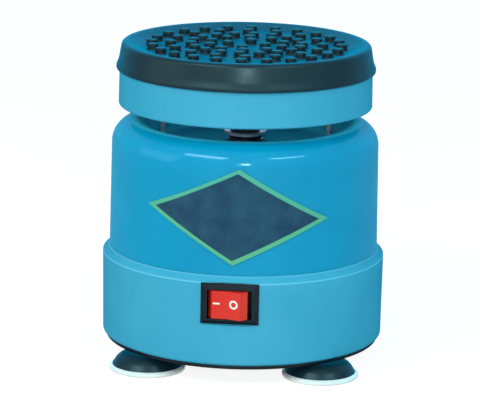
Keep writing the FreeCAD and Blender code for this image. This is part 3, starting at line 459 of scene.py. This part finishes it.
def label_film():
    """Glossy film: dark slate field inside a light green border."""
    low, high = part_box("front_label")
    middle = (low + high) / 2
    half_width = (high.x - low.x) / 2 / math.cos(LABEL_TILT)
    half_height = (high.z - low.z) / 2
    finish = Finish("label_film")
    centred = finish.node("ShaderNodeMapping", {
        "Vector": finish.place,
        "Location": (-middle.x, 0, -middle.z),
    }).outputs[0]
    turned = finish.node("ShaderNodeMapping", {
        "Vector": centred,
        "Rotation": (0, -LABEL_TILT, 0),
    }).outputs[0]
    parts = finish.node("ShaderNodeSeparateXYZ", {"Vector": turned}).outputs
    across = finish.math("DIVIDE", finish.math("ABSOLUTE", parts["X"]), half_width)
    upward = finish.math("DIVIDE", finish.math("ABSOLUTE", parts["Z"]), half_height)
    share = finish.math("ADD", across, upward)
    depth = half_width * half_height / math.hypot(half_width, half_height)
    border_start = 1 - (LABEL_BORDER + LABEL_BLEND) / depth
    border = finish.ranged(share, 0.0, 1.0, start=border_start, end=1 - LABEL_BORDER / depth)
    slate = finish.between(finish.noise(160.0, detail=4.0), linear(24, 60, 84), linear(36, 78, 100))
    rise = finish.ranged(parts["Z"], 0.0, 1.0, start=-half_height, end=half_height)
    green = finish.between(rise, linear(86, 172, 128), linear(78, 168, 142))
    finish.colour(finish.mixed(border, slate, green))
    finish.roughness(finish.ranged(finish.noise(220.0), 0.16, 0.26))
    finish.bump(finish.noise(1200.0, detail=2.0), strength=0.2, distance=0.01 * MM)
    return finish.set(Specular_IOR_Level=0.12)


FINISHES = (
    housing_blue, base_blue, label_film, black_rubber, painted_reflection_rubber, pale_rubber, black_plastic,
    red_plastic, white_plastic, steel, dark_steel, lamination, aluminium, copper, brass, bronze, lead_red,
)
materials = {make.__name__: make().material for make in FINISHES}


def node_tree(name, inputs):
    """Geometry Nodes tree with named inputs, and the identifiers of its sockets."""
    tree = bpy.data.node_groups.new(name, "GeometryNodeTree")
    tree.interface.new_socket("Geometry", in_out="INPUT", socket_type="NodeSocketGeometry")
    identifiers = {}
    for label, kind in inputs:
        socket = tree.interface.new_socket(label, in_out="INPUT", socket_type=kind)
        identifiers[label] = socket.identifier
    tree.interface.new_socket("Geometry", in_out="OUTPUT", socket_type="NodeSocketGeometry")
    start = tree.nodes.new("NodeGroupInput").outputs
    end = tree.nodes.new("NodeGroupOutput").inputs
    return tree, identifiers, start, end


def smooth_faces_tree():
    """Joins loose faces and shades them smooth up to a crease angle."""
    tree, names, start, end = node_tree("smooth_faces", (
        ("Join Distance", "NodeSocketFloat"),
        ("Crease Angle", "NodeSocketFloat"),
    ))
    joined = tree_node(tree, "GeometryNodeMergeByDistance", {
        "Geometry": start["Geometry"],
        "Distance": start["Join Distance"],
    })
    smooth = tree_node(tree, "GeometryNodeSetShadeSmooth", {"Geometry": joined.outputs[0]}, domain="FACE")
    angle = tree_node(tree, "GeometryNodeInputMeshEdgeAngle").outputs["Unsigned Angle"]
    sharp = tree_node(tree, "FunctionNodeCompare", {
        0: angle,
        1: start["Crease Angle"],
    }, operation="GREATER_THAN")
    creased = tree_node(tree, "GeometryNodeSetShadeSmooth", {
        "Geometry": smooth.outputs[0],
        "Selection": sharp.outputs[0],
        "Shade Smooth": False,
    }, domain="EDGE")
    tree.links.new(creased.outputs[0], end["Geometry"])
    return tree, names


SMOOTH_TREE, SMOOTH_INPUTS = smooth_faces_tree()


def smooth_faces(thing):
    modifier = thing.modifiers.new("smooth_faces", "NODES")
    modifier.node_group = SMOOTH_TREE
    modifier[SMOOTH_INPUTS["Join Distance"]] = SMOOTH_JOIN_DISTANCE
    modifier[SMOOTH_INPUTS["Crease Angle"]] = CREASE_ANGLE


def dress_nodes():
    """Gives each carried-over node its finish and smooth shading."""
    slots = {part["node"]: part["material_slot"] for part in frame["record"]["subparts"]}
    for name, thing in frame["nodes"].items():
        thing.data.materials.clear()
        thing.data.materials.append(materials[slots[name]])
        smooth_faces(thing)


def piece(name, mesh, body, slot, finish=None):
    """Finished piece that rides on a body, in the finish of its slot or one of its own."""
    mesh.materials.clear()
    mesh.materials.append(materials[finish or slot])
    thing = linked(name, mesh)
    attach(thing, body)
    return thing


def settled(thing):
    """Plain mesh of a working object after its modifiers, which takes the object away."""
    mesh = bpy.data.meshes.new_from_object(thing.evaluated_get(bpy.context.evaluated_depsgraph_get()))
    bpy.data.objects.remove(thing)
    return mesh


def rounded_outline(corners):
    """Points of an open outline, with an arc at each corner that has a third value, its radius."""
    points = []
    for index, corner in enumerate(corners):
        spot = Vector(corner[:2])
        if len(corner) < 3:
            points.append(spot)
            continue
        radius = corner[2]
        before = (Vector(corners[index - 1][:2]) - spot).normalized()
        after = (Vector(corners[index + 1][:2]) - spot).normalized()
        half = before.angle(after) / 2
        middle = spot + (before + after).normalized() * radius / math.sin(half)
        start = spot + before * radius / math.tan(half) - middle
        end = spot + after * radius / math.tan(half) - middle
        sweep = math.copysign(math.pi - 2 * half, start.cross(end))
        for step in range(ARC_STEPS + 1):
            points.append(middle + Matrix.Rotation(sweep * step / ARC_STEPS, 2) @ start)
    return points


def closed_mesh(name, solid):
    """Mesh of a solid with its doubles merged, its openings filled and its faces turned outwards."""
    bmesh.ops.remove_doubles(solid, verts=solid.verts, dist=JOIN_DISTANCE)
    bmesh.ops.holes_fill(solid, edges=solid.edges)
    bmesh.ops.recalc_face_normals(solid, faces=solid.faces)
    mesh = bpy.data.meshes.new(name)
    solid.to_mesh(mesh)
    solid.free()
    return mesh


def lathe(name, outline, axis, segments):
    """Closed solid turned about an upright axis from points of radius and height."""
    solid = bmesh.new()
    corners = [solid.verts.new((axis.x + radius, axis.y, height)) for radius, height in outline]
    edges = [solid.edges.new(pair) for pair in zip(corners, corners[1:])]
    bmesh.ops.spin(solid, geom=corners + edges, axis=UP, cent=(axis.x, axis.y, 0), angle=2 * math.pi,
                   steps=segments)
    return closed_mesh(name, solid)


def stud_rings_tree():
    """Sets the incoming stud on the points of rings round an axis."""
    numbers = range(1, len(STUD_RINGS) + 1)
    inputs = [("Axis", "NodeSocketVector"), ("Finish", "NodeSocketMaterial")]
    for number in numbers:
        inputs.append((f"Ring {number} Radius", "NodeSocketFloat"))
        inputs.append((f"Ring {number} Count", "NodeSocketInt"))
        inputs.append((f"Ring {number} Turn", "NodeSocketFloat"))
    tree, names, start, end = node_tree("stud_rings", inputs)
    rings = tree_node(tree, "GeometryNodeJoinGeometry")
    for number in numbers:
        circle = tree_node(tree, "GeometryNodeMeshCircle", {
            "Vertices": start[f"Ring {number} Count"],
            "Radius": start[f"Ring {number} Radius"],
        })
        turn = tree_node(tree, "FunctionNodeAxisAngleToRotation", {"Angle": start[f"Ring {number} Turn"]})
        ring = tree_node(tree, "GeometryNodeTransform", {
            "Geometry": circle.outputs[0],
            "Translation": start["Axis"],
            "Rotation": turn.outputs[0],
        })
        tree.links.new(ring.outputs[0], rings.inputs[0])
    studs = tree_node(tree, "GeometryNodeInstanceOnPoints", {
        "Points": rings.outputs[0],
        "Instance": start["Geometry"],
    })
    solid = tree_node(tree, "GeometryNodeRealizeInstances", {"Geometry": studs.outputs[0]})
    finished = tree_node(tree, "GeometryNodeSetMaterial", {
        "Geometry": solid.outputs[0],
        "Material": start["Finish"],
    })
    tree.links.new(finished.outputs[0], end["Geometry"])
    return tree, names


def rubber_cap():
    """Cap with a flared lip and a shallow dish that holds rings of round-edged studs."""
    low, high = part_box("rubber_cap")
    axis = (low + high) / 2
    lip_radius = (high.x - low.x) / 2
    rim = high.z - CAP_RIM_DROP
    dish = high.z - STUD_HEIGHT
    seat = low.z + CAP_SEAT_DEPTH
    body = rounded_outline([
        (0, seat),
        (CAP_SEAT_RADIUS, seat),
        (CAP_SEAT_RADIUS, low.z),
        (lip_radius, low.z, CAP_LIP_LOWER_ROUND),
        (lip_radius, low.z + CAP_LIP_EDGE, CAP_LIP_UPPER_ROUND),
        (CAP_SIDE_RADIUS, low.z + CAP_FLARE_HEIGHT, CAP_FLARE_ROUND),
        (CAP_TOP_RADIUS, rim, CAP_TOP_ROUND),
        (CAP_RIM_INNER_RADIUS, rim, CAP_RIM_INNER_ROUND),
        (CAP_DISH_RADIUS, dish, CAP_DISH_ROUND),
        (0, dish),
    ])
    working = linked("cap_body", lathe("cap_body", body, axis, CAP_SEGMENTS))
    smooth_faces(working)
    cap = piece("cap_body", settled(working), "head", "black_rubber", "painted_reflection_rubber")
    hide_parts("rubber_cap")

    stud = rounded_outline([
        (0, dish - STUD_ROOT),
        (STUD_RADIUS + STUD_FILLET, dish - STUD_ROOT),
        (STUD_RADIUS + STUD_FILLET, dish),
        (STUD_RADIUS, dish + STUD_FILLET, STUD_FILLET_ROUND),
        (STUD_RADIUS, high.z, STUD_EDGE),
        (0, high.z),
    ])
    working = linked("cap_studs", lathe("stud", stud, Vector((0, 0, 0)), STUD_SIDES))
    tree, names = stud_rings_tree()
    modifier = working.modifiers.new("stud_rings", "NODES")
    modifier.node_group = tree
    modifier[names["Axis"]] = (axis.x, axis.y, 0.0)
    modifier[names["Finish"]] = materials["black_rubber"]
    for number, (radius, count, turn) in enumerate(STUD_RINGS, 1):
        modifier[names[f"Ring {number} Radius"]] = radius
        modifier[names[f"Ring {number} Count"]] = count
        modifier[names[f"Ring {number} Turn"]] = math.radians(turn)
    smooth_faces(working)
    piece("cap_studs", settled(working), "head", "black_rubber")


def laid_on(node, name, outlines):
    """Thin raised mark that follows the front of a node, skinned from one closed outline to the next."""
    target = frame["nodes"][node].data
    front = BVHTree.FromPolygons([v.co for v in target.vertices], [p.vertices for p in target.polygons])
    solid = bmesh.new()
    loops = []
    for outline, raise_by in outlines:
        loop = []
        for across, height in outline:
            spot = front.ray_cast(Vector((across, RAY_START, height)), RAY_DIRECTION)[0]
            loop.append(solid.verts.new(spot - RAY_DIRECTION * raise_by))
        loops.append(loop)
    for here, there in zip(loops, loops[1:]):
        for step in range(len(here)):
            after = (step + 1) % len(here)
            solid.faces.new((here[step], here[after], there[after], there[step]))
    return closed_mesh(name, solid)


def rocker_marks():
    """White bar and ring on the two ends of the rocker."""
    low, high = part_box("switch_rocker")
    middle = (low + high) / 2 + MARK_LIFT * UP
    angles = [2 * math.pi * step / RING_SEGMENTS for step in range(RING_SEGMENTS)]

    def circle(radius):
        centre = middle.x + RING_PLACE
        return [(centre + radius * math.cos(a), middle.z + radius * math.sin(a)) for a in angles]

    ring = laid_on("switch_rocker", "rocker_ring", (
        (circle(RING_OUTER), -MARK_ROOT),
        (circle(RING_OUTER), MARK_RAISE),
        (circle(RING_INNER), MARK_RAISE),
        (circle(RING_INNER), -MARK_ROOT),
        (circle(RING_OUTER), -MARK_ROOT),
    ))
    piece("rocker_ring", ring, "rocker", "white_plastic")

    left = middle.x + BAR_PLACE - BAR_LENGTH / 2
    right = left + BAR_LENGTH
    bottom = middle.z - BAR_WIDTH / 2
    top = bottom + BAR_WIDTH
    oblong = ((left, bottom), (right, bottom), (right, top), (left, top))
    bar = laid_on("switch_rocker", "rocker_bar", ((oblong, -MARK_ROOT), (oblong, MARK_RAISE)))
    piece("rocker_bar", bar, "rocker", "white_plastic")


def place_camera():
    back = Vector((
        math.sin(CAMERA_AZIMUTH) * math.cos(CAMERA_ELEVATION),
        -math.cos(CAMERA_AZIMUTH) * math.cos(CAMERA_ELEVATION),
        math.sin(CAMERA_ELEVATION),
    ))
    level = Vector((math.cos(CAMERA_AZIMUTH), math.sin(CAMERA_AZIMUTH), 0))
    upward = back.cross(level)
    right = level * math.cos(CAMERA_ROLL) + upward * math.sin(CAMERA_ROLL)
    top = upward * math.cos(CAMERA_ROLL) - level * math.sin(CAMERA_ROLL)
    lens = bpy.data.cameras.new("camera")
    lens.sensor_width = CAMERA_SENSOR
    lens.lens = CAMERA_FOCAL_PIXELS / IMAGE_WIDTH * CAMERA_SENSOR
    lens.clip_start, lens.clip_end = CAMERA_REACH
    camera = linked("camera", lens)
    turn = Matrix((right, top, back)).transposed().to_4x4()
    spot = CAMERA_TARGET + back * CAMERA_DISTANCE - right * AIM_LEFT + top * AIM_UP
    camera.matrix_world = Matrix.Translation(spot) @ turn
    bpy.context.scene.camera = camera


def softbox(name, spot, aim, size, power, tint=(1, 1, 1), mirrored=True):
    """Flat lamp that faces a point, and may be kept out of reflections."""
    lamp = bpy.data.lights.new(name, "AREA")
    lamp.shape = "RECTANGLE"
    lamp.size, lamp.size_y = size
    lamp.energy = power
    lamp.color = tint
    thing = linked(name, lamp)
    thing.location = spot
    thing.rotation_mode = "QUATERNION"
    thing.rotation_quaternion = (Vector(aim) - Vector(spot)).to_track_quat("-Z", "Y")
    thing.visible_camera = False
    thing.visible_glossy = mirrored


def light_scene():
    """Long boxes and a small one for the highlights, and broad ones that fill from all round."""
    middle = (0, 0, 0.06)
    softbox("key_left", (-0.68, -0.98, 1.1), middle, size=(0.9, 0.2), power=9.5)
    softbox("fill_right", (0.85, -0.77, 1.1), middle, size=(0.7, 0.13), power=6.0, tint=(0.65, 0.92, 1.0))
    softbox("spark", (0.12, -1.3, 0.42), middle, size=(0.12, 0.12), power=2.5)
    softbox("front", (0.05, -1.4, 0.42), (0, 0, 0.08), size=(0.6, 0.25), power=6.5, mirrored=False)
    softbox("side_left", (-1.2, -0.3, 0.25), middle, size=(0.9, 0.9), power=5.0)
    softbox("side_right", (1.2, -0.3, 0.25), middle, size=(0.9, 0.9), power=4.0, tint=(0.25, 0.9, 1.0),
            mirrored=False)
    softbox("blue_back", (0.0, 1.3, 0.75), (0, 0, 0.1), size=(5.0, 1.5), power=28.0, tint=(0.02, 0.6, 1.0))


def pale_surround():
    """White world where it is seen straight on or mirrored, and soft bluish light elsewhere."""
    world = bpy.data.worlds.new("pale_surround")
    bpy.context.scene.world = world
    world.use_nodes = True
    tree = world.node_tree
    tone = colour_mix(tree, seen_plainly(tree), AMBIENT, WHITE)
    tree.links.new(tone, tree.nodes["Background"].inputs["Color"])


def pale_floor():
    """White floor that keeps a faint shadow."""
    signs = ((-1, -1), (1, -1), (1, 1), (-1, 1))
    corners = [(x * FLOOR_REACH, y * FLOOR_REACH, cad_low.z) for x, y in signs]
    mesh = bpy.data.meshes.new("floor")
    mesh.from_pydata(corners, [], [(0, 1, 2, 3)])
    finish = Finish("floor_white")
    finish.set(Roughness=0.9, Specular_IOR_Level=0.0, Emission_Color=WHITE)
    finish.colour(finish.between(finish.noise(3.0), *FLOOR_TONES))
    glow = finish.ranged(seen_plainly(finish.tree), *FLOOR_GLOW, start=0.0, end=1.0)
    finish.feed("Emission Strength", glow)
    mesh.materials.append(finish.material)
    floor = linked("floor", mesh)


dress_nodes()
rubber_cap()
rocker_marks()
place_camera()
light_scene()
pale_surround()
pale_floor()
bpy.context.scene.view_settings.view_transform = "Standard"
